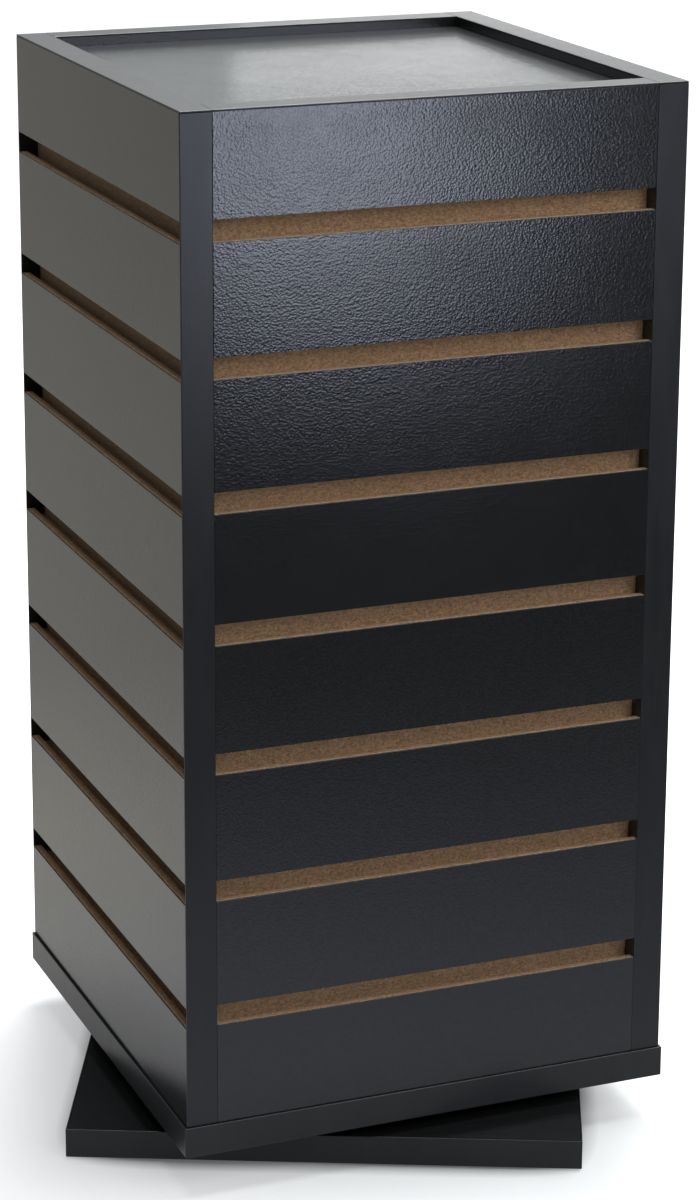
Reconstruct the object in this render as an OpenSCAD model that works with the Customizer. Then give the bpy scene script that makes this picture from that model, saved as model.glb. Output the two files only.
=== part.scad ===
// Four-sided revolving slatwall tower that stands on a shop counter.
// Millimetres, +Z up. The origin is on the counter top, on the turntable's axis.
// The tower's front face looks along -Y. The base board under it is turned about +Z.

/* [Tower] */
// Outside width and depth of the square tower
tower_w = 303; // [260:1:420]
// Height of the four slatwall panels
panel_h = 590.6; // [584:0.1:640]
// Thickness of a finished panel, with its laminate and its backer
panel_t = 18.6; // [18:0.1:22]
// Depth of the top panel's face below the rim
tray_depth = 6.3; // [4:0.1:12]

/* [Grooves] */
// Number of grooves in each panel
groove_count = 7; // [5:1:7]
// Distance between two grooves
groove_pitch = 76.2; // [75:0.1:77]
// From the panels' top edge down to the middle of the top groove
groove_top = 66; // [60:0.5:68]
// Height of a groove's mouth
mouth_h = 12.5; // [10:0.1:14]
// Height of the wide part of a groove, behind its lips
cavity_h = 22; // [18:0.5:24]
// Thickness of a groove's lips, with the laminate
lip_t = 5; // [4:0.1:5.5]
// Depth of a groove from the panel's face
groove_depth = 12; // [10:0.1:12]

/* [Boards] */
// Thickness of the textured laminate on the faces that show
laminate_t = 0.8; // [0.5:0.1:1.2]
// Thickness of the plain black backer on the faces that don't
backer_t = 0.5; // [0.3:0.1:0.8]
// Thickness of the edge banding
band_t = 1; // [0.8:0.1:1.5]
// Thickness of the deck that the tower stands on
deck_t = 18.6; // [18:0.1:22]
// How far the deck stands out past the tower on each side
deck_overhang = 1.5; // [0.5:0.1:6]
// Thickness of the base board
base_t = 17.9; // [17:0.1:22]
// Angle of the base board to the tower, about +Z
base_turn = -24.2; // [-45:0.1:45]
// Thickness of the pads under the base
pad_t = 1.2; // [1:0.1:3]

/* [Turntable] */
// Height of the bearing, from the base's top to the deck's underside
bearing_h = 7.9; // [7.8:0.1:8.2]
// Side of the bearing's square plates
plate_w = 152.4; // [150:0.1:156]
// Distance between the screw holes of a plate
plate_hole_pitch = 130; // [126:0.5:134]
// Number of balls in the bearing
ball_count = 24; // [16:1:28]

/* [Hidden] */
$fn = 48;

// Heights of the boards' undersides, from the counter up
base_z = pad_t;
bearing_z = base_z + base_t;
deck_z = bearing_z + bearing_h;
panel_z = deck_z + deck_t;
top_panel_z = panel_z + panel_h - tray_depth - panel_t;

// Widths that follow from the tower's
half_w = tower_w / 2;
inner_w = tower_w - 2 * panel_t;
side_core_w = tower_w - 2 * band_t;
board_w = tower_w + 2 * deck_overhang;
core_t = panel_t - laminate_t - backer_t;
body_h = panel_h - band_t;
seam = 0.1;
top_gap = 0.3;
top_w = inner_w - 2 * top_gap;
over = 1;

// Places of the grooves, and of the slats' middles, above a panel's bottom edge
slat_count = groove_count + 1;
function groove_z(k) = panel_h - groove_top - groove_pitch * k;
function slat_z(k) = groove_z(k) + groove_pitch / 2;
dowel_slats = [0, round(slat_count / 2) - 1, slat_count - 1];
cam_slats = [1, slat_count - 2];

// Dowels and cam fittings at the four upright joints
joint_x = half_w - panel_t / 2;
dowel_r = 4;
dowel_l = 30;
dowel_in_side = 12;
hole_slack = 0.5;
bolt_r = 2.5;
bolt_in_side = 11;
bolt_hole_r = 4;
bolt_reach = 24;
bolt_tip_r = 1.5;
bolt_tip_l = 2;
bolt_collar_r = 3.7;
bolt_neck_r = 1.6;
bolt_head_r = 2.9;
bolt_head_l = 3.2;
bolt_chamfer = 1;
cam_r = 7.5;
cam_h = 12.5;
cam_slack = 0.4;
fit = 0.1;

// Wood screws
screw_r = 1.9;
screw_tip_l = 4;
pilot_fit = 0.05;
flat_head_r = 4.1;
flat_head_h = 2.8;
flat_head_rim = 0.3;
sink_slack = 0.15;
pan_head_r = 3.8;
pan_head_h = 2.1;
pan_top_r = 2.7;
pan_side_h = 1.2;
recess_w = 1.1;
recess_l = 4;
recess_h = 1.3;
deck_screw_l = 50;
cleat_screw_l = 30;
plate_screw_l = 13;
deck_screw_x = tower_w * 0.24;

// Battens that hold the top panel
cleat_w = 18;
cleat_l = 200;
cleat_screw_x = 80;
cleat_z = top_panel_z - cleat_w;

// Ball bearing: an outer race hangs from the upper plate, and an inner race stands on the lower one
plate_t = 1.2;
ball_ring_r = 54.4;
ball_r = 1.984;
ball_fit = 0.08;
race_wall = 1.25;
race_gap = 0.55;
cage_half_t = 0.55;
cage_half_h = 2.42;
cage_cut = 4;
ring_fn = 96;
ball_z = bearing_h / 2;
plate_corner_r = 6;
plate_hole_r = 2.3;
pad_r = 11;
pad_inset = 22;
access_r = 9.5;
access_x = plate_hole_pitch / 2 * sqrt(2);

// ---- shapes that repeat ----

// A screw with its head's top at the origin, pointing up along +Z
module flat_screw(length) {
    difference() {
        rotate_extrude()
            polygon([
                [0, 0],
                [flat_head_r, 0],
                [flat_head_r, flat_head_rim],
                [screw_r, flat_head_h],
                [screw_r, length - screw_tip_l],
                [0, length]
            ]);
        cross_recess();
    }
}

module pan_screw(length) {
    difference() {
        rotate_extrude()
            polygon([
                [0, -pan_head_h],
                [pan_top_r, -pan_head_h],
                [pan_head_r, -pan_side_h],
                [pan_head_r, 0],
                [screw_r, 0],
                [screw_r, length - screw_tip_l],
                [0, length]
            ]);
        translate([0, 0, -pan_head_h])
            cross_recess();
    }
}

module cross_recess() {
    for (turn = [0, 90])
        rotate([0, 0, turn])
            translate([-recess_l / 2, -recess_w / 2, -over])
                cube([recess_l, recess_w, recess_h + over]);
}

// The hole that a flat screw leaves in the board it passes through and the board that it bites
module flat_screw_hole(length) {
    rotate_extrude()
        polygon([
            [0, -over],
            [flat_head_r + fit, -over],
            [flat_head_r + fit, flat_head_rim + fit],
            [screw_r + pilot_fit, flat_head_h + sink_slack],
            [screw_r + pilot_fit, length + hole_slack],
            [0, length + hole_slack]
        ]);
}

// Four strips round a square board, two of them full length and two between those
module board_bands(width, height) {
    short_l = width - 2 * band_t - 2 * seam;
    for (side = [-1, 1]) {
        translate([-width / 2, side * (width - band_t) / 2 - band_t / 2, 0])
            cube([width, band_t, height]);
        translate([side * (width - band_t) / 2 - band_t / 2, -short_l / 2, 0])
            cube([band_t, short_l, height]);
    }
}

// A square sheet between two heights
module sheet(width, low, high) {
    translate([-width / 2, -width / 2, low])
        cube([width, width, high - low]);
}

module at_four(distance) {
    for (x = [-1, 1], y = [-1, 1])
        translate([x * distance, y * distance, 0])
            children();
}

// Puts a panel that is drawn with its outer face on y = 0, looking along -Y, at one side of the tower
module panel_place(turn) {
    rotate([0, 0, turn])
        translate([0, -half_w, panel_z])
            children();
}

// T-shaped grooves along X, cut in from the face at y = 0
module grooves(length) {
    for (k = [0 : groove_count - 1])
        translate([-length / 2, 0, groove_z(k)]) {
            translate([0, -over, -mouth_h / 2])
                cube([length, groove_depth + over, mouth_h]);
            translate([0, lip_t, -cavity_h / 2])
                cube([length, groove_depth - lip_t, cavity_h]);
        }
}

// Places along Z at the panel's middle thickness, for the screws that come up through the deck
module at_deck_screws() {
    for (side = [-1, 1])
        translate([side * deck_screw_x, panel_t / 2, -deck_t])
            children();
}

// Places on the panel's inner face for the screws through a cleat, pointing out of the tower
module at_cleat_screws() {
    for (side = [-1, 1])
        translate([side * cleat_screw_x, panel_t + cleat_w, cleat_z + cleat_w / 2 - panel_z])
            rotate([90, 0, 0])
                children();
}

// Places on the two upright edges of a front or rear panel, pointing into it along X
module at_panel_edges(slats) {
    for (side = [-1, 1], k = slats)
        translate([side * inner_w / 2, panel_t / 2, slat_z(k)])
            rotate([0, -side * 90, 0])
                children();
}

// Places on the inner face of a side panel, pointing into it, out of the tower
module at_side_faces(slats) {
    for (side = [-1, 1], k = slats)
        translate([side * joint_x, panel_t, slat_z(k)])
            rotate([90, 0, 0])
                children();
}

// Centres of the cam discs, on the inner face of a front or rear panel, pointing into it
module at_cams() {
    for (side = [-1, 1], k = cam_slats)
        translate([side * (inner_w / 2 - bolt_reach), panel_t, slat_z(k)])
            rotate([90, 0, 0])
                rotate([0, 0, side > 0 ? 0 : 180])
                    children();
}

module panel_screw_holes() {
    at_deck_screws()
        flat_screw_hole(deck_screw_l);
    at_cleat_screws()
        flat_screw_hole(cleat_screw_l);
}

// Board of a front or rear panel, which stands between the two side panels
module end_panel_core() {
    difference() {
        translate([-inner_w / 2, laminate_t, 0])
            cube([inner_w, core_t, body_h]);
        grooves(inner_w + 2 * over);
        at_panel_edges(dowel_slats)
            cylinder(r = dowel_r + fit, h = dowel_l - dowel_in_side + hole_slack);
        at_panel_edges(cam_slats)
            cylinder(r = bolt_hole_r, h = bolt_reach);
        at_cams()
            cylinder(r = cam_r + fit, h = cam_h + fit);
        panel_screw_holes();
    }
}

// Board of a side panel, which runs the tower's full depth
module side_panel_core() {
    difference() {
        translate([-side_core_w / 2, laminate_t, 0])
            cube([side_core_w, core_t, body_h]);
        grooves(side_core_w + 2 * over);
        at_side_faces(dowel_slats)
            cylinder(r = dowel_r + fit, h = dowel_in_side + hole_slack);
        at_side_faces(cam_slats)
            cylinder(r = bolt_r + pilot_fit, h = bolt_in_side + hole_slack);
        panel_screw_holes();
    }
}

// Laminate strips on a panel's outer face, one for each slat
module panel_laminate(width) {
    difference() {
        translate([-width / 2, 0, 0])
            cube([width, laminate_t, body_h]);
        grooves(width + 2 * over);
    }
}

module end_panel_backer() {
    difference() {
        translate([-inner_w / 2, panel_t - backer_t, 0])
            cube([inner_w, backer_t, body_h]);
        at_cams()
            cylinder(r = cam_r + fit, h = cam_h);
        at_cleat_screws()
            flat_screw_hole(cleat_screw_l);
    }
}

module side_panel_backer() {
    difference() {
        translate([-side_core_w / 2, panel_t - backer_t, 0])
            cube([side_core_w, backer_t, body_h]);
        at_side_faces(dowel_slats)
            cylinder(r = dowel_r + fit, h = dowel_in_side);
        at_side_faces(cam_slats)
            cylinder(r = bolt_r + pilot_fit, h = bolt_in_side);
        at_cleat_screws()
            flat_screw_hole(cleat_screw_l);
    }
}

module end_panel_band() {
    translate([-inner_w / 2, 0, body_h])
        cube([inner_w, panel_t, band_t]);
}

// Bands on a side panel's two upright edges, with a third over the top of everything
module side_panel_bands() {
    for (side = [-1, 1])
        translate([side * (half_w - band_t / 2) - band_t / 2, 0, 0])
            cube([band_t, panel_t, body_h - seam]);
    translate([-half_w, 0, body_h])
        cube([tower_w, panel_t, band_t]);
}

// One square plate of the bearing, flat on z = 0
module bearing_plate(hole_r) {
    difference() {
        linear_extrude(plate_t)
            difference() {
                union() {
                    square([plate_w, plate_w - 2 * plate_corner_r], center = true);
                    square([plate_w - 2 * plate_corner_r, plate_w], center = true);
                    at_four(plate_w / 2 - plate_corner_r)
                        circle(r = plate_corner_r);
                }
                circle(r = hole_r);
            }
        at_four(plate_hole_pitch / 2)
            translate([0, 0, -over])
                cylinder(r = plate_hole_r, h = plate_t + 2 * over);
    }
}

module ball_groove() {
    rotate_extrude($fn = ring_fn)
        translate([ball_ring_r, ball_z])
            circle(r = ball_r + ball_fit);
}

module race(low_r, high_r, low_z, high_z) {
    difference() {
        rotate_extrude($fn = ring_fn)
            translate([low_r, low_z])
                square([high_r - low_r, high_z - low_z]);
        ball_groove();
    }
}

module at_balls() {
    for (k = [0 : ball_count - 1])
        rotate([0, 0, 360 * k / ball_count])
            translate([ball_ring_r, 0, ball_z])
                children();
}

module at_base() {
    rotate([0, 0, base_turn])
        translate([0, 0, base_z])
            children();
}

// ---- base ----

module rubber_pads() {
    color("dimgray")
        rotate([0, 0, base_turn])
            at_four(board_w / 2 - pad_inset)
                cylinder(r = pad_r, h = pad_t);
}

module access_hole() {
    translate([access_x, 0, -over])
        cylinder(r = access_r, h = base_t + 2 * over);
}

module base_core() {
    color("peru")
        at_base()
            difference() {
                sheet(board_w - 2 * band_t, backer_t, base_t - laminate_t);
                access_hole();
                at_four(plate_hole_pitch / 2)
                    translate([0, 0, base_t - plate_screw_l + plate_t - hole_slack])
                        cylinder(r = screw_r + pilot_fit, h = plate_screw_l);
            }
}

module base_top_laminate() {
    color("#2a2b2d")
        at_base()
            difference() {
                sheet(board_w - 2 * band_t, base_t - laminate_t, base_t);
                access_hole();
                at_four(plate_hole_pitch / 2)
                    cylinder(r = screw_r + pilot_fit, h = base_t + over);
            }
}

module base_bottom_laminate() {
    color("#202122")
        at_base()
            difference() {
                sheet(board_w - 2 * band_t, 0, backer_t);
                access_hole();
            }
}

module base_edge_bands() {
    color("#303134")
        at_base()
            board_bands(board_w, base_t);
}

// ---- turntable ----

module turntable_lower_plate() {
    color("silver")
        rotate([0, 0, base_turn])
            translate([0, 0, bearing_z]) {
                bearing_plate(ball_ring_r - ball_r - race_wall);
                race(
                    ball_ring_r - ball_r - race_wall,
                    ball_ring_r - cage_half_t - race_gap,
                    0,
                    bearing_h - plate_t - race_gap
                );
            }
}

module turntable_lower_screws() {
    color("silver")
        rotate([0, 0, base_turn])
            translate([0, 0, bearing_z + plate_t])
                at_four(plate_hole_pitch / 2)
                    rotate([180, 0, 0])
                        pan_screw(plate_screw_l);
}

module ball_cage() {
    color("khaki")
        translate([0, 0, bearing_z])
            difference() {
                rotate_extrude($fn = ring_fn)
                    translate([ball_ring_r - cage_half_t, ball_z - cage_half_h])
                        square([2 * cage_half_t, 2 * cage_half_h]);
                at_balls()
                    rotate([0, 90, 0])
                        cylinder(r = ball_r + fit, h = cage_cut, center = true);
            }
}

module bearing_balls() {
    color("gainsboro")
        translate([0, 0, bearing_z])
            at_balls()
                sphere(r = ball_r);
}

module turntable_upper_plate() {
    color("silver")
        translate([0, 0, bearing_z]) {
            translate([0, 0, bearing_h - plate_t])
                bearing_plate(ball_ring_r + cage_half_t + race_gap);
            race(
                ball_ring_r + cage_half_t + race_gap,
                ball_ring_r + ball_r + race_wall,
                plate_t + race_gap,
                bearing_h
            );
        }
}

module turntable_upper_screws() {
    color("silver")
        translate([0, 0, deck_z - plate_t])
            at_four(plate_hole_pitch / 2)
                pan_screw(plate_screw_l);
}

// ---- deck ----

module deck_screw_holes() {
    for (turn = [0, 90, 180, 270])
        rotate([0, 0, turn])
            translate([0, -half_w, deck_t])
                at_deck_screws()
                    flat_screw_hole(deck_screw_l);
}

module deck_core() {
    color("peru")
        translate([0, 0, deck_z])
            difference() {
                sheet(board_w - 2 * band_t, backer_t, deck_t - laminate_t);
                deck_screw_holes();
                at_four(plate_hole_pitch / 2)
                    cylinder(r = screw_r + pilot_fit, h = plate_screw_l - plate_t + hole_slack);
            }
}

module deck_top_laminate() {
    color("#2a2b2d")
        translate([0, 0, deck_z])
            difference() {
                sheet(board_w - 2 * band_t, deck_t - laminate_t, deck_t);
                deck_screw_holes();
            }
}

module deck_bottom_laminate() {
    color("#202122")
        translate([0, 0, deck_z])
            difference() {
                sheet(board_w - 2 * band_t, 0, backer_t);
                deck_screw_holes();
                at_four(plate_hole_pitch / 2)
                    translate([0, 0, -over])
                        cylinder(r = screw_r + pilot_fit, h = backer_t + 2 * over);
            }
}

module deck_edge_bands() {
    color("#303134")
        translate([0, 0, deck_z])
            board_bands(board_w, deck_t);
}

module deck_screws() {
    color("silver")
        for (turn = [0, 90, 180, 270])
            panel_place(turn)
                at_deck_screws()
                    flat_screw(deck_screw_l);
}

// ---- panels ----

module front_panel_core() {
    color("peru")
        panel_place(0)
            end_panel_core();
}

module front_panel_laminate() {
    color("#2a2b2d")
        panel_place(0)
            panel_laminate(inner_w);
}

module front_panel_backer() {
    color("#202122")
        panel_place(0)
            end_panel_backer();
}

module front_panel_edge_band() {
    color("#303134")
        panel_place(0)
            end_panel_band();
}

module rear_panel_core() {
    color("peru")
        panel_place(180)
            end_panel_core();
}

module rear_panel_laminate() {
    color("#2a2b2d")
        panel_place(180)
            panel_laminate(inner_w);
}

module rear_panel_backer() {
    color("#202122")
        panel_place(180)
            end_panel_backer();
}

module rear_panel_edge_band() {
    color("#303134")
        panel_place(180)
            end_panel_band();
}

module left_panel_core() {
    color("peru")
        panel_place(-90)
            side_panel_core();
}

module left_panel_laminate() {
    color("#2a2b2d")
        panel_place(-90)
            panel_laminate(side_core_w);
}

module left_panel_backer() {
    color("#202122")
        panel_place(-90)
            side_panel_backer();
}

module left_panel_edge_bands() {
    color("#303134")
        panel_place(-90)
            side_panel_bands();
}

module right_panel_core() {
    color("peru")
        panel_place(90)
            side_panel_core();
}

module right_panel_laminate() {
    color("#2a2b2d")
        panel_place(90)
            panel_laminate(side_core_w);
}

module right_panel_backer() {
    color("#202122")
        panel_place(90)
            side_panel_backer();
}

module right_panel_edge_bands() {
    color("#303134")
        panel_place(90)
            side_panel_bands();
}

// ---- top panel and its cleats ----

module cleat_place(turn) {
    rotate([0, 0, turn])
        translate([0, -inner_w / 2, cleat_z])
            children();
}

// Place of the one screw that goes up through each cleat into the top panel
module at_top_screw() {
    translate([0, cleat_w / 2, 0])
        children();
}

module top_screw_holes() {
    for (turn = [0, 90, 180, 270])
        cleat_place(turn)
            at_top_screw()
                flat_screw_hole(cleat_screw_l);
}

module top_panel_core() {
    color("peru")
        difference() {
            translate([0, 0, top_panel_z])
                sheet(top_w, backer_t, panel_t - laminate_t);
            top_screw_holes();
        }
}

module top_panel_laminate() {
    color("#2a2b2d")
        translate([0, 0, top_panel_z])
            sheet(top_w, panel_t - laminate_t, panel_t);
}

module top_panel_backer() {
    color("#202122")
        difference() {
            translate([0, 0, top_panel_z])
                sheet(top_w, 0, backer_t);
            top_screw_holes();
        }
}

module top_cleats() {
    color("burlywood")
        for (turn = [0, 90, 180, 270])
            difference() {
                cleat_place(turn)
                    translate([-cleat_l / 2, 0, 0])
                        cube([cleat_l, cleat_w, cleat_w]);
                panel_place(turn)
                    at_cleat_screws()
                        flat_screw_hole(cleat_screw_l);
                cleat_place(turn)
                    at_top_screw()
                        flat_screw_hole(cleat_screw_l);
            }
}

module cleat_screws() {
    color("silver")
        for (turn = [0, 90, 180, 270]) {
            panel_place(turn)
                at_cleat_screws()
                    flat_screw(cleat_screw_l);
            cleat_place(turn)
                at_top_screw()
                    flat_screw(cleat_screw_l);
        }
}

// ---- joint fittings ----

module joint_dowels() {
    color("tan")
        for (turn = [0, 180])
            panel_place(turn)
                at_panel_edges(dowel_slats)
                    translate([0, 0, -dowel_in_side])
                        cylinder(r = dowel_r, h = dowel_l);
}

// A zinc cam with a mouth for the bolt's neck, a wider pocket for its head and a cross slot
module cam_disc() {
    mouth_w = 2 * (bolt_neck_r + cam_slack);
    difference() {
        cylinder(r = cam_r, h = cam_h);
        translate([0, -mouth_w / 2, panel_t / 2 - mouth_w / 2])
            cube([cam_r + over, mouth_w, mouth_w]);
        translate([-bolt_head_r, 0, panel_t / 2])
            rotate([0, 90, 0])
                cylinder(r = bolt_head_r + cam_slack, h = bolt_head_l + bolt_head_r);
        cross_recess();
    }
}

module cam_discs() {
    color("lightgray")
        for (turn = [0, 180])
            panel_place(turn)
                at_cams()
                    cam_disc();
}

// The bolt bites the side panel below z = 0, and its head sits in the cam above
module cam_bolt() {
    collar_l = bolt_reach - cam_r - bolt_chamfer;
    head_low = bolt_reach - bolt_head_l / 2;
    head_high = bolt_reach + bolt_head_l / 2;
    rotate_extrude()
        polygon([
            [0, -bolt_in_side],
            [bolt_tip_r, -bolt_in_side],
            [bolt_r, bolt_tip_l - bolt_in_side],
            [bolt_r, 0],
            [bolt_collar_r, 0],
            [bolt_collar_r, collar_l],
            [bolt_neck_r, collar_l + bolt_chamfer],
            [bolt_neck_r, head_low],
            [bolt_head_r, head_low],
            [bolt_head_r, head_high - bolt_chamfer],
            [bolt_head_r - bolt_chamfer, head_high],
            [0, head_high]
        ]);
}

module cam_bolts() {
    color("silver")
        for (turn = [0, 180])
            panel_place(turn)
                at_panel_edges(cam_slats)
                    cam_bolt();
}

rubber_pads();
base_core();
base_top_laminate();
base_bottom_laminate();
base_edge_bands();
turntable_lower_plate();
turntable_lower_screws();
ball_cage();
bearing_balls();
turntable_upper_plate();
turntable_upper_screws();
deck_core();
deck_top_laminate();
deck_bottom_laminate();
deck_edge_bands();
deck_screws();
front_panel_core();
front_panel_laminate();
front_panel_backer();
front_panel_edge_band();
rear_panel_core();
rear_panel_laminate();
rear_panel_backer();
rear_panel_edge_band();
left_panel_core();
left_panel_laminate();
left_panel_backer();
left_panel_edge_bands();
right_panel_core();
right_panel_laminate();
right_panel_backer();
right_panel_edge_bands();
top_panel_core();
top_panel_laminate();
top_panel_backer();
top_cleats();
cleat_screws();
joint_dowels();
cam_discs();
cam_bolts();
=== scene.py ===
"""Revolving four-sided slatwall tower: materials, rounded edges, light and camera around the CAD frame."""
import math

import bpy
from mathutils import Matrix, Vector


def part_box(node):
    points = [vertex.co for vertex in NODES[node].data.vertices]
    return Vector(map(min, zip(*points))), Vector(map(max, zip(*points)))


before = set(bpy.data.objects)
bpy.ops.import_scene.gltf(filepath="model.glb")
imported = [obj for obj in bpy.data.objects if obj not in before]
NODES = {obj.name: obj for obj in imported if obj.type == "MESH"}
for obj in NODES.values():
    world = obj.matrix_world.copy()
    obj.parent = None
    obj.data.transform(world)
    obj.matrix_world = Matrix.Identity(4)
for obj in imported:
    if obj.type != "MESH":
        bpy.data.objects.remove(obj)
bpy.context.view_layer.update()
SCENE = bpy.context.scene


# ---------------------------------------------------------------- node helpers
# The mix node has one set of sockets for each data type: these are the colour ones
MIX_FACTOR = 0
MIX_COLOUR_A = 6
MIX_COLOUR_B = 7
MIX_COLOUR_OUT = 2


class Tree:
    """A material's node tree, with short calls for the nodes used here."""

    def __init__(self, name):
        self.material = bpy.data.materials.new(name)
        self.material.use_nodes = True
        self.tree = self.material.node_tree
        self.tree.nodes.clear()
        self.output = self.tree.nodes.new("ShaderNodeOutputMaterial")

    def node(self, kind, **settings):
        made = self.tree.nodes.new(kind)
        for key, value in settings.items():
            setattr(made, key, value)
        return made

    def link(self, source, target):
        self.tree.links.new(source, target)

    def put(self, socket, value):
        """Links an output, or sets a constant."""
        if isinstance(value, bpy.types.NodeSocket):
            self.link(value, socket)
        else:
            socket.default_value = value

    def principled(self, **sockets):
        """The surface shader: constants go on its own sockets, and outputs are linked to them."""
        shader = self.node("ShaderNodeBsdfPrincipled")
        for key, value in sockets.items():
            self.put(shader.inputs[key.replace("_", " ")], value)
        self.link(shader.outputs["BSDF"], self.output.inputs["Surface"])

    def place(self, scale=(1.0, 1.0, 1.0), turn=(0.0, 0.0, 0.0)):
        """Object coordinates in metres, stretched."""
        coords = self.node("ShaderNodeTexCoord")
        mapping = self.node("ShaderNodeMapping")
        self.link(coords.outputs["Object"], mapping.inputs["Vector"])
        mapping.inputs["Scale"].default_value = scale
        mapping.inputs["Rotation"].default_value = turn
        return mapping.outputs["Vector"]

    def noise(self, where, scale, detail=2.0, rough=0.5, distort=0.0):
        made = self.node("ShaderNodeTexNoise")
        self.link(where, made.inputs["Vector"])
        made.inputs["Scale"].default_value = scale
        made.inputs["Detail"].default_value = detail
        made.inputs["Roughness"].default_value = rough
        made.inputs["Distortion"].default_value = distort
        return made.outputs["Fac"]

    def cells(self, where, scale):
        """Scattered cells, about one in each 1/scale metres."""
        made = self.node("ShaderNodeTexVoronoi", feature="F1")
        self.link(where, made.inputs["Vector"])
        made.inputs["Scale"].default_value = scale
        made.inputs["Randomness"].default_value = 1.0
        return made

    def math(self, kind, a, b=0.0, clamp=False):
        made = self.node("ShaderNodeMath", operation=kind, use_clamp=clamp)
        self.put(made.inputs[0], a)
        self.put(made.inputs[1], b)
        return made.outputs["Value"]

    def remap(self, value, low, high, to_low, to_high, smooth=False):
        made = self.node("ShaderNodeMapRange")
        made.interpolation_type = "SMOOTHSTEP" if smooth else "LINEAR"
        self.put(made.inputs["Value"], value)
        made.inputs["From Min"].default_value = low
        made.inputs["From Max"].default_value = high
        made.inputs["To Min"].default_value = to_low
        made.inputs["To Max"].default_value = to_high
        return made.outputs["Result"]

    def mix(self, factor, a, b):
        made = self.node("ShaderNodeMix", data_type="RGBA", blend_type="MIX")
        self.put(made.inputs[MIX_FACTOR], factor)
        self.put(made.inputs[MIX_COLOUR_A], a)
        self.put(made.inputs[MIX_COLOUR_B], b)
        return made.outputs[MIX_COLOUR_OUT]

    def axes(self, where):
        made = self.node("ShaderNodeSeparateXYZ")
        self.link(where, made.inputs["Vector"])
        return made.outputs["X"], made.outputs["Y"], made.outputs["Z"]

    def bump(self, height, distance):
        """A full-strength bump, with the distance in metres."""
        made = self.node("ShaderNodeBump")
        made.inputs["Strength"].default_value = 1.0
        made.inputs["Distance"].default_value = distance
        self.link(height, made.inputs["Height"])
        return made.outputs["Normal"]


def grey(value, warm=0.0):
    """A near-neutral linear colour."""
    return (value * (1.0 + warm), value, value * (1.0 - warm), 1.0)


# ---------------------------------------------------------------- materials
def make_laminate(name):
    """Black laminate with a fine pebble embossing: shallow dimples about 1.4 mm apart."""
    t = Tree(name)
    here = t.place()
    dimples_per_metre = 740.0
    dimple_depth = 0.00006
    dimple = t.cells(here, dimples_per_metre).outputs["Distance"]
    dimple_rim_and_painted_glint = t.remap(dimple, 0.3, 0.6, 0.0, 1.0, smooth=True)
    haze = t.noise(here, 11.0, detail=3.0, rough=0.55)
    smudge = t.noise(here, 46.0, detail=4.0, rough=0.62, distort=0.6)
    film = t.math(
        "ADD",
        t.remap(haze, 0.3, 0.7, 0.0, 0.02),
        t.remap(smudge, 0.45, 0.75, 0.0, 0.02, smooth=True),
    )
    rough = t.math("ADD", film, t.remap(dimple_rim_and_painted_glint, 0.0, 1.0, 0.15, 0.185))
    # Painted glint speckle: the dimple centres are a little lighter to go with their brighter glints, and the
    # rims are darker and rougher
    colour = t.mix(dimple_rim_and_painted_glint, grey(0.0095, -0.03), grey(0.0055, -0.03))
    t.principled(
        Base_Color=colour,
        Roughness=rough,
        IOR=1.5,
        Normal=t.bump(dimple, dimple_depth),
    )
    return t.material


def make_band(name, along):
    """Satin plastic edge band: extrusion lines along its length and a faint orange peel."""
    t = Tree(name)
    stretch = {"Z": (1.0, 1.0, 0.015), "X": (0.015, 1.0, 1.0)}[along]
    drawn = t.noise(t.place(stretch), 2600.0, detail=2.0)
    here = t.place()
    peel = t.noise(here, 420.0, detail=2.0)
    rub = t.noise(t.place((1.0, 1.0, 0.2)), 70.0, detail=5.0, rough=0.65)
    height = t.math("ADD", t.math("MULTIPLY", drawn, 0.35), peel)
    rough = t.math(
        "ADD",
        t.remap(rub, 0.35, 0.7, 0.29, 0.33),
        t.remap(drawn, 0.3, 0.7, -0.015, 0.015),
    )
    colour = t.mix(t.remap(rub, 0.45, 0.75, 0.0, 1.0), grey(0.0065, -0.05), grey(0.0095, -0.05))
    t.principled(Base_Color=colour, Roughness=rough, IOR=1.43, Normal=t.bump(height, 0.00003))
    return t.material


def make_mdf(name):
    """Raw machined MDF: matted brown fibres with pale and dark flecks and a soft fuzz."""
    t = Tree(name)
    here = t.place()
    fibre = t.noise(t.place((1.0, 1.0, 1.6)), 620.0, detail=3.0, rough=0.6, distort=0.6)
    clump = t.noise(t.place((0.6, 0.6, 1.6)), 130.0, detail=4.0, rough=0.6)
    pale = t.remap(t.noise(t.place((0.7, 0.7, 1.8)), 800.0, detail=2.0), 0.6, 0.72, 0.0, 1.0, smooth=True)
    dark = t.remap(t.noise(here, 640.0, detail=2.0, distort=0.8), 0.62, 0.74, 0.0, 1.0, smooth=True)
    colour = t.mix(t.remap(fibre, 0.36, 0.64, 0.0, 1.0), (0.20, 0.112, 0.055, 1.0), (0.44, 0.285, 0.165, 1.0))
    colour = t.mix(t.remap(clump, 0.35, 0.7, 0.0, 0.45), colour, (0.27, 0.162, 0.086, 1.0))
    colour = t.mix(t.math("MULTIPLY", pale, 0.55), colour, (0.46, 0.34, 0.22, 1.0))
    colour = t.mix(t.math("MULTIPLY", dark, 0.5), colour, (0.10, 0.052, 0.026, 1.0))
    height = t.math("ADD", fibre, t.math("MULTIPLY", clump, 0.6))
    rough = t.remap(fibre, 0.3, 0.7, 0.82, 0.94)
    t.principled(
        Base_Color=colour,
        Roughness=rough,
        Specular_IOR_Level=0.25,
        Sheen_Weight=0.12,
        Sheen_Roughness=0.6,
        Normal=t.bump(height, 0.00022),
    )
    return t.material


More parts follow.
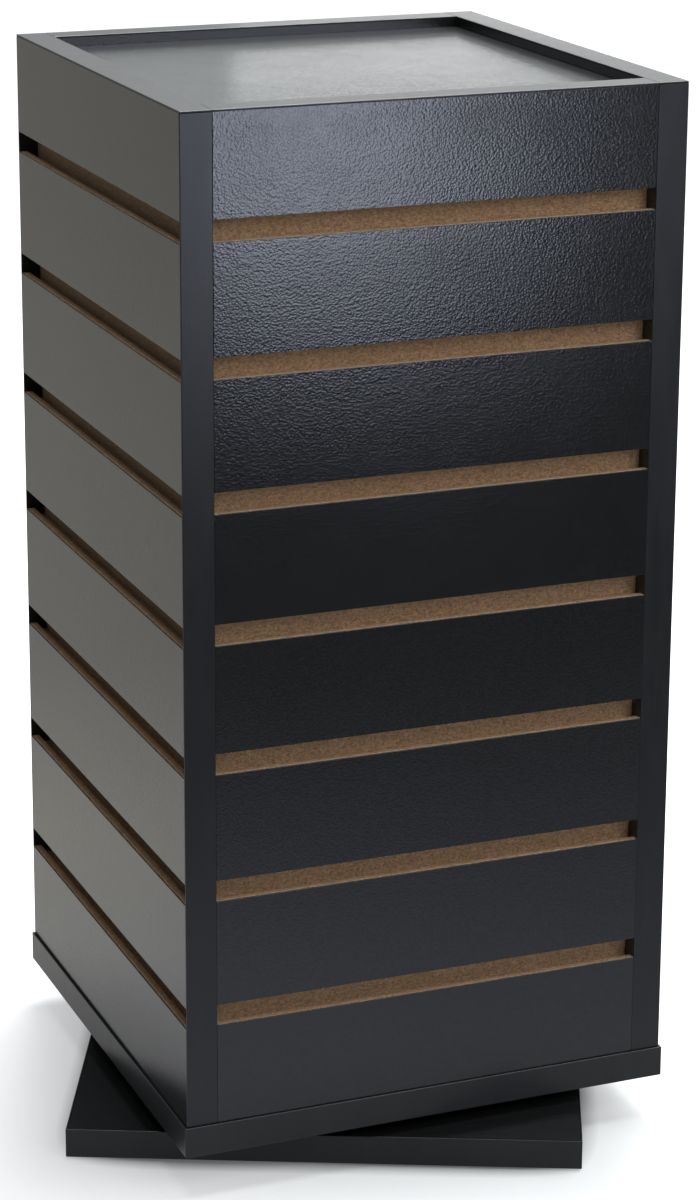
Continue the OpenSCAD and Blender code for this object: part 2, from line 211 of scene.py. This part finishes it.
def make_backer(name):
    """Thin plain black backing sheet, slightly mottled."""
    t = Tree(name)
    here = t.place()
    mottle = t.noise(here, 34.0, detail=5.0, rough=0.62)
    paper = t.noise(here, 760.0, detail=3.0, rough=0.6)
    colour = t.mix(t.remap(mottle, 0.35, 0.68, 0.0, 1.0), grey(0.008), grey(0.013, 0.04))
    rough = t.remap(mottle, 0.3, 0.7, 0.5, 0.6)
    t.principled(Base_Color=colour, Roughness=rough, Normal=t.bump(paper, 0.00003))
    return t.material


def make_plate_steel(name):
    """Zinc-plated pressed steel: faint crystal spangle, rolling lines and dull patches."""
    t = Tree(name)
    here = t.place()
    spangle = t.cells(here, 190.0)
    tone = t.axes(spangle.outputs["Color"])[0]
    rolled = t.noise(t.place((1.0, 0.03, 1.0)), 1500.0, detail=2.0)
    patch = t.noise(here, 38.0, detail=5.0, rough=0.6)
    shade = t.math("ADD", t.remap(tone, 0.0, 1.0, 0.0, 0.35), t.remap(patch, 0.35, 0.7, 0.0, 0.65))
    colour = t.mix(shade, (0.60, 0.61, 0.61, 1.0), (0.40, 0.415, 0.43, 1.0))
    rough = t.math("ADD", t.remap(patch, 0.3, 0.7, 0.27, 0.42), t.remap(tone, 0.0, 1.0, -0.03, 0.03))
    t.principled(Base_Color=colour, Metallic=1.0, Roughness=rough, Normal=t.bump(rolled, 0.00001))
    return t.material


def make_screw_steel(name):
    """Bright zinc screw steel with a slight yellow cast in scattered patches."""
    t = Tree(name)
    here = t.place()
    tint = t.noise(here, 420.0, detail=3.0)
    colour = t.mix(t.remap(tint, 0.35, 0.68, 0.0, 1.0), (0.66, 0.65, 0.62, 1.0), (0.47, 0.45, 0.40, 1.0))
    rough = t.remap(tint, 0.3, 0.7, 0.24, 0.4)
    t.principled(Base_Color=colour, Metallic=1.0, Roughness=rough, Normal=t.bump(tint, 0.00001))
    return t.material


def make_ball_steel(name):
    """Ground bearing steel with a thin film of grease."""
    t = Tree(name)
    film = t.noise(t.place(), 520.0, detail=2.0)
    colour = t.mix(film, (0.70, 0.70, 0.71, 1.0), (0.55, 0.54, 0.50, 1.0))
    t.principled(Base_Color=colour, Metallic=1.0, Roughness=t.remap(film, 0.3, 0.7, 0.08, 0.2))
    return t.material


def make_nylon(name):
    """Natural moulded nylon, faintly mottled."""
    t = Tree(name)
    mottle = t.noise(t.place(), 260.0, detail=3.0)
    colour = t.mix(t.remap(mottle, 0.3, 0.7, 0.0, 1.0), (0.62, 0.60, 0.54, 1.0), (0.50, 0.48, 0.42, 1.0))
    t.principled(
        Base_Color=colour,
        Roughness=t.remap(mottle, 0.3, 0.7, 0.38, 0.5),
        Normal=t.bump(mottle, 0.00003),
    )
    return t.material


def make_cast_zinc(name):
    """Die-cast zinc: dull grey with a sandy cast skin."""
    t = Tree(name)
    here = t.place()
    sand = t.noise(here, 1300.0, detail=3.0)
    patch = t.noise(here, 160.0, detail=3.0)
    colour = t.mix(t.remap(patch, 0.3, 0.7, 0.0, 1.0), (0.42, 0.43, 0.44, 1.0), (0.30, 0.31, 0.32, 1.0))
    t.principled(
        Base_Color=colour,
        Metallic=1.0,
        Roughness=t.remap(sand, 0.3, 0.7, 0.45, 0.6),
        Normal=t.bump(sand, 0.00004),
    )
    return t.material


def make_wood(name, pale, deep, along):
    """Planed wood: growth bands across, streaks and pores along the grain."""
    t = Tree(name)
    stretch = {"X": (0.06, 1.0, 1.0), "Y": (1.0, 0.06, 1.0)}[along]
    rings = t.node("ShaderNodeTexWave", wave_type="BANDS", bands_direction="Z")
    t.link(t.place(stretch), rings.inputs["Vector"])
    rings.inputs["Scale"].default_value = 90.0
    rings.inputs["Distortion"].default_value = 5.0
    rings.inputs["Detail"].default_value = 2.0
    streak = t.noise(t.place(stretch), 620.0, detail=4.0, rough=0.6)
    pores = t.noise(t.place(stretch), 1900.0, detail=2.0)
    blend = t.math(
        "ADD",
        t.math("MULTIPLY", rings.outputs["Fac"], 0.5),
        t.math("MULTIPLY", streak, 0.6),
        clamp=True,
    )
    colour = t.mix(blend, pale, deep)
    height = t.math("ADD", pores, t.math("MULTIPLY", rings.outputs["Fac"], 0.4))
    t.principled(
        Base_Color=colour,
        Roughness=t.remap(streak, 0.3, 0.7, 0.55, 0.72),
        Normal=t.bump(height, 0.00006),
    )
    return t.material


def make_rubber(name):
    """Black cellular rubber pad."""
    t = Tree(name)
    here = t.place()
    pores = t.cells(here, 1500.0).outputs["Distance"]
    dust = t.noise(here, 120.0, detail=4.0)
    colour = t.mix(t.remap(dust, 0.4, 0.75, 0.0, 1.0), grey(0.012), grey(0.03, 0.05))
    t.principled(
        Base_Color=colour,
        Roughness=t.remap(dust, 0.3, 0.7, 0.78, 0.9),
        Specular_IOR_Level=0.3,
        Normal=t.bump(pores, 0.00008),
    )
    return t.material


LAMINATE = make_laminate("black_textured_laminate")
BAND_UP = make_band("black_edge_band_upright", "Z")
BAND_X = make_band("black_edge_band_along_x", "X")
MDF = make_mdf("raw_mdf")
BACKER = make_backer("black_backer")
PLATE = make_plate_steel("zinc_plated_steel")
SCREW = make_screw_steel("bright_zinc_screw")
BALL = make_ball_steel("bearing_steel")
NYLON = make_nylon("natural_nylon")
CAST = make_cast_zinc("cast_zinc")
DOWEL = make_wood("beech_dowel", (0.60, 0.42, 0.25, 1.0), (0.42, 0.27, 0.15, 1.0), "Y")
CLEAT_X = make_wood("pine_cleat", (0.66, 0.47, 0.26, 1.0), (0.47, 0.29, 0.14, 1.0), "X")
RUBBER = make_rubber("black_rubber")

FINISH = {
    "rubber_pads": RUBBER,
    "base_core": MDF,
    "base_top_laminate": LAMINATE,
    "base_bottom_laminate": BACKER,
    "base_edge_bands": BAND_X,
    "turntable_lower_plate": PLATE,
    "turntable_lower_screws": SCREW,
    "ball_cage": NYLON,
    "bearing_balls": BALL,
    "turntable_upper_plate": PLATE,
    "turntable_upper_screws": SCREW,
    "deck_core": MDF,
    "deck_top_laminate": LAMINATE,
    "deck_bottom_laminate": BACKER,
    "deck_edge_bands": BAND_X,
    "deck_screws": SCREW,
    "top_panel_core": MDF,
    "top_panel_laminate": LAMINATE,
    "top_panel_backer": BACKER,
    "top_cleats": CLEAT_X,
    "cleat_screws": SCREW,
    "joint_dowels": DOWEL,
    "cam_discs": CAST,
    "cam_bolts": SCREW,
}
# The panels' backers wear the laminate, because their top ends are the rim's inner faces
for face in ("front", "rear", "left", "right"):
    FINISH[face + "_panel_core"] = MDF
    FINISH[face + "_panel_laminate"] = LAMINATE
    FINISH[face + "_panel_backer"] = LAMINATE
    bands = "_panel_edge_band" if face in ("front", "rear") else "_panel_edge_bands"
    FINISH[face + bands] = BAND_X if face in ("front", "rear") else BAND_UP


def dress(node, material):
    """Gives every material slot of a CAD node the finish."""
    for one in NODES[node].material_slots:
        one.link = "OBJECT"
        one.material = material


for node_name, finish in FINISH.items():
    dress(node_name, finish)

# ---------------------------------------------------------------- eased edges
EASED = {
    "base_edge_bands": 0.0007,
    "deck_edge_bands": 0.0007,
    "front_panel_edge_band": 0.00035,
    "rear_panel_edge_band": 0.00035,
    "left_panel_edge_bands": 0.00035,
    "right_panel_edge_bands": 0.00035,
    "front_panel_laminate": 0.00025,
    "rear_panel_laminate": 0.00025,
    "left_panel_laminate": 0.00025,
    "right_panel_laminate": 0.00025,
    "top_panel_laminate": 0.0002,
}


def ease(node, width):
    """Rounds a node's sharp edges with modifiers, leaving its mesh as it is."""
    part = NODES[node]
    same_point = 0.000002
    part.modifiers.new("join", "WELD").merge_threshold = same_point
    flat = part.modifiers.new("flat", "DECIMATE")
    flat.decimate_type = "DISSOLVE"
    flat.angle_limit = math.radians(0.5)
    bevel = part.modifiers.new("ease", "BEVEL")
    bevel.width = width
    bevel.segments = 3
    bevel.limit_method = "ANGLE"
    bevel.angle_limit = math.radians(35.0)
    part.modifiers.new("shade", "WEIGHTED_NORMAL").keep_sharp = False


for node_name, width in EASED.items():
    ease(node_name, width)


# ---------------------------------------------------------------- stage
BASE_TURN = math.radians(-24.2)
BAND_T = 0.001
BASE_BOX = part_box("base_core")
# A turned square's box is wider than the square by this factor
BASE_SPREAD = math.cos(BASE_TURN) + abs(math.sin(BASE_TURN))
BASE_HALF = (BASE_BOX[1][0] - BASE_BOX[0][0]) / 2 / BASE_SPREAD + BAND_T


def sheet(name, corners, material):
    """A flat four-cornered stage surface."""
    mesh = bpy.data.meshes.new(name)
    mesh.from_pydata([tuple(c) for c in corners], [], [(0, 1, 2, 3)])
    made = bpy.data.objects.new(name, mesh)
    SCENE.collection.objects.link(made)
    made.data.materials.append(material)
    return made


def only_for(thing, camera=False, diffuse=False, glossy=False):
    """Which rays see a stage surface."""
    thing.visible_camera = camera
    thing.visible_diffuse = diffuse
    thing.visible_glossy = glossy
    thing.visible_transmission = False
    thing.visible_volume_scatter = False
    thing.visible_shadow = False


def make_floor(name):
    """White paper floor. Its own light grows with the distance from the base board's outline, so
    the soft shade round the base is partly painted here and not only cast by the lights."""
    t = Tree(name)
    turned = t.axes(t.place(turn=(0.0, 0.0, -BASE_TURN)))
    # The outline is a square with soft corners: a higher power makes them sharper
    power = 8.0
    sides = [t.math("POWER", t.math("ABSOLUTE", side), power) for side in turned[:2]]
    reach = t.math("POWER", t.math("ADD", sides[0], sides[1]), 1.0 / power)
    gap = t.math("SUBTRACT", reach, BASE_HALF)
    lift = ramp(t, gap, [(0.0, 0.10), (0.012, 0.46), (0.05, 0.60), (0.25, 0.97)])
    fibre = t.noise(t.place(), 300.0, detail=3.0)
    colour = t.mix(fibre, (0.29, 0.295, 0.30, 1.0), (0.32, 0.32, 0.325, 1.0))
    t.principled(
        Base_Color=colour,
        Roughness=0.9,
        Specular_IOR_Level=0.1,
        Emission_Color=(0.99, 1.0, 1.01, 1.0),
        Emission_Strength=lift,
    )
    return t.material


def make_plain(name, tone):
    """A matt surface of one tone, which only passes light on."""
    t = Tree(name)
    t.principled(Base_Color=grey(tone), Roughness=1.0, Specular_IOR_Level=0.0)
    return t.material


def ramp(t, value, stops):
    """A piecewise line through (position, brightness) stops, as a sum of ranges."""
    total = stops[0][1]
    for (a, va), (b, vb) in zip(stops, stops[1:]):
        total = t.math("ADD", total, t.remap(value, a, b, 0.0, vb - va))
    return total


def make_floor_in_gloss(name):
    """A glowing sheet that only gloss sees, a painted reflection of the floor: painted shade at the object's
    foot, warm behind, blue and fading in front.
    """
    t = Tree(name)
    emission = t.node("ShaderNodeEmission")
    x, y = t.axes(t.place())[:2]
    radius = t.math("SQRT", t.math("ADD", t.math("MULTIPLY", x, x), t.math("MULTIPLY", y, y)))
    # Painted shade: the glow is dimmest next to the object's foot and fades far off
    bright = ramp(t, radius, [(0.17, 0.35), (0.3, 0.74), (0.5, 0.78), (0.9, 0.55), (3.0, 0.44)])
    fade = t.math("MULTIPLY", t.remap(y, -1.25, -0.25, 0.0, 1.0), t.remap(x, 0.0, 0.3, 1.0, 0.75))
    colour = t.mix(t.remap(y, -0.5, 0.4, 0.0, 1.0), (1.07, 1.13, 1.32, 1.0), (1.02, 1.0, 0.92, 1.0))
    t.put(emission.inputs["Color"], colour)
    t.put(emission.inputs["Strength"], t.math("MULTIPLY", bright, fade))
    t.link(emission.outputs["Emission"], t.output.inputs["Surface"])
    return t.material


def floor_sheet(name, level, material, **seen_by):
    """A wide level sheet, at a hair's depth of its own under the object."""
    half = 9.0
    corners = [(-half, -half, level), (half, -half, level), (half, half, level), (-half, half, level)]
    only_for(sheet(name, corners, material), **seen_by)


def make_stage():
    """One floor in three sheets: what the camera sees, what passes light on, and what gloss mirrors."""
    floor_sheet("floor", -0.0002, make_floor("floor_paper"), camera=True)
    floor_sheet("floor_bounce", -0.001, make_plain("floor_bounce", 0.5), diffuse=True)
    floor_sheet("floor_in_gloss", -0.002, make_floor_in_gloss("floor_in_gloss"), glossy=True)


def softbox(name, place, size, radiance, colour=(1.0, 1.0, 1.0), aim=(0.0, 0.0, 0.35)):
    """A rectangular soft light of a given surface brightness, unseen by the camera."""
    light = bpy.data.lights.new(name, "AREA")
    light.shape = "RECTANGLE"
    light.size, light.size_y = size
    light.energy = math.pi * size[0] * size[1] * radiance
    light.color = colour
    made = bpy.data.objects.new(name, light)
    made.location = place
    made.rotation_euler = (Vector(aim) - Vector(place)).to_track_quat("-Z", "Y").to_euler()
    made.visible_camera = False
    SCENE.collection.objects.link(made)
    return made


FRONT_TINT = (0.86, 0.92, 1.12)


def make_light():
    """Soft boxes and a faint sky. The fill lights no gloss, and the last three show only in gloss."""
    world = bpy.data.worlds.new("studio_air")
    SCENE.world = world
    world.use_nodes = True
    air = world.node_tree.nodes["Background"]
    air.inputs["Color"].default_value = (0.90, 1.0, 1.03, 1.0)
    air.inputs["Strength"].default_value = 0.27
    softbox("overhead_box", (0.0, 0.0, 2.75), (1.5, 1.5), 6.3)
    softbox("high_back_box", (0.60, 1.04, 2.43), (1.2, 1.2), 26.0)
    softbox("high_right_box", (1.54, 0.0, 2.19), (1.4, 1.4), 10.0, (0.92, 1.0, 1.0))
    softbox("back_box", (0.86, 2.36, 1.02), (1.6, 1.2), 0.43)
    fill = softbox("front_fill", (0.5, -1.5, 1.4), (1.0, 0.8), 6.6)
    fill.visible_glossy = False
    sheen = [
        softbox("front_strip", (0.50, -1.65, 0.35), (0.33, 0.32), 9.0, FRONT_TINT, (0.50, 0.0, 0.35)),
        softbox("front_window", (0.72, -1.65, 1.05), (0.9, 0.8), 3.7, FRONT_TINT, (0.72, 0.0, 1.05)),
        softbox("rear_card", (0.39, 0.55, 0.672), (0.5, 0.08), 2.1, aim=(0.0, 0.0, 0.64)),
    ]
    for one in sheen:
        one.visible_diffuse = False


make_stage()
make_light()


# ---------------------------------------------------------------- camera
def make_camera():
    """The photograph's viewpoint: 22 degrees round to the left of the front, looking down 15 degrees."""
    data = bpy.data.cameras.new("camera")
    data.sensor_width = 36.0
    data.lens = 101.92
    data.shift_x = 0.0049
    data.shift_y = -0.1116
    data.clip_end = 60.0
    made = bpy.data.objects.new("camera", data)
    heading = Matrix.Rotation(math.radians(-21.874), 4, "Z")
    tilt = Matrix.Rotation(math.radians(90.0 - 15.473), 4, "X")
    roll = Matrix.Rotation(math.radians(0.2865), 4, "Z")
    made.matrix_world = Matrix.Translation((-0.7345, -1.8407, 0.9359)) @ heading @ tilt @ roll
    SCENE.collection.objects.link(made)
    SCENE.camera = made


make_camera()
SCENE.view_settings.view_transform = "Standard"
SCENE.view_settings.look = "None"
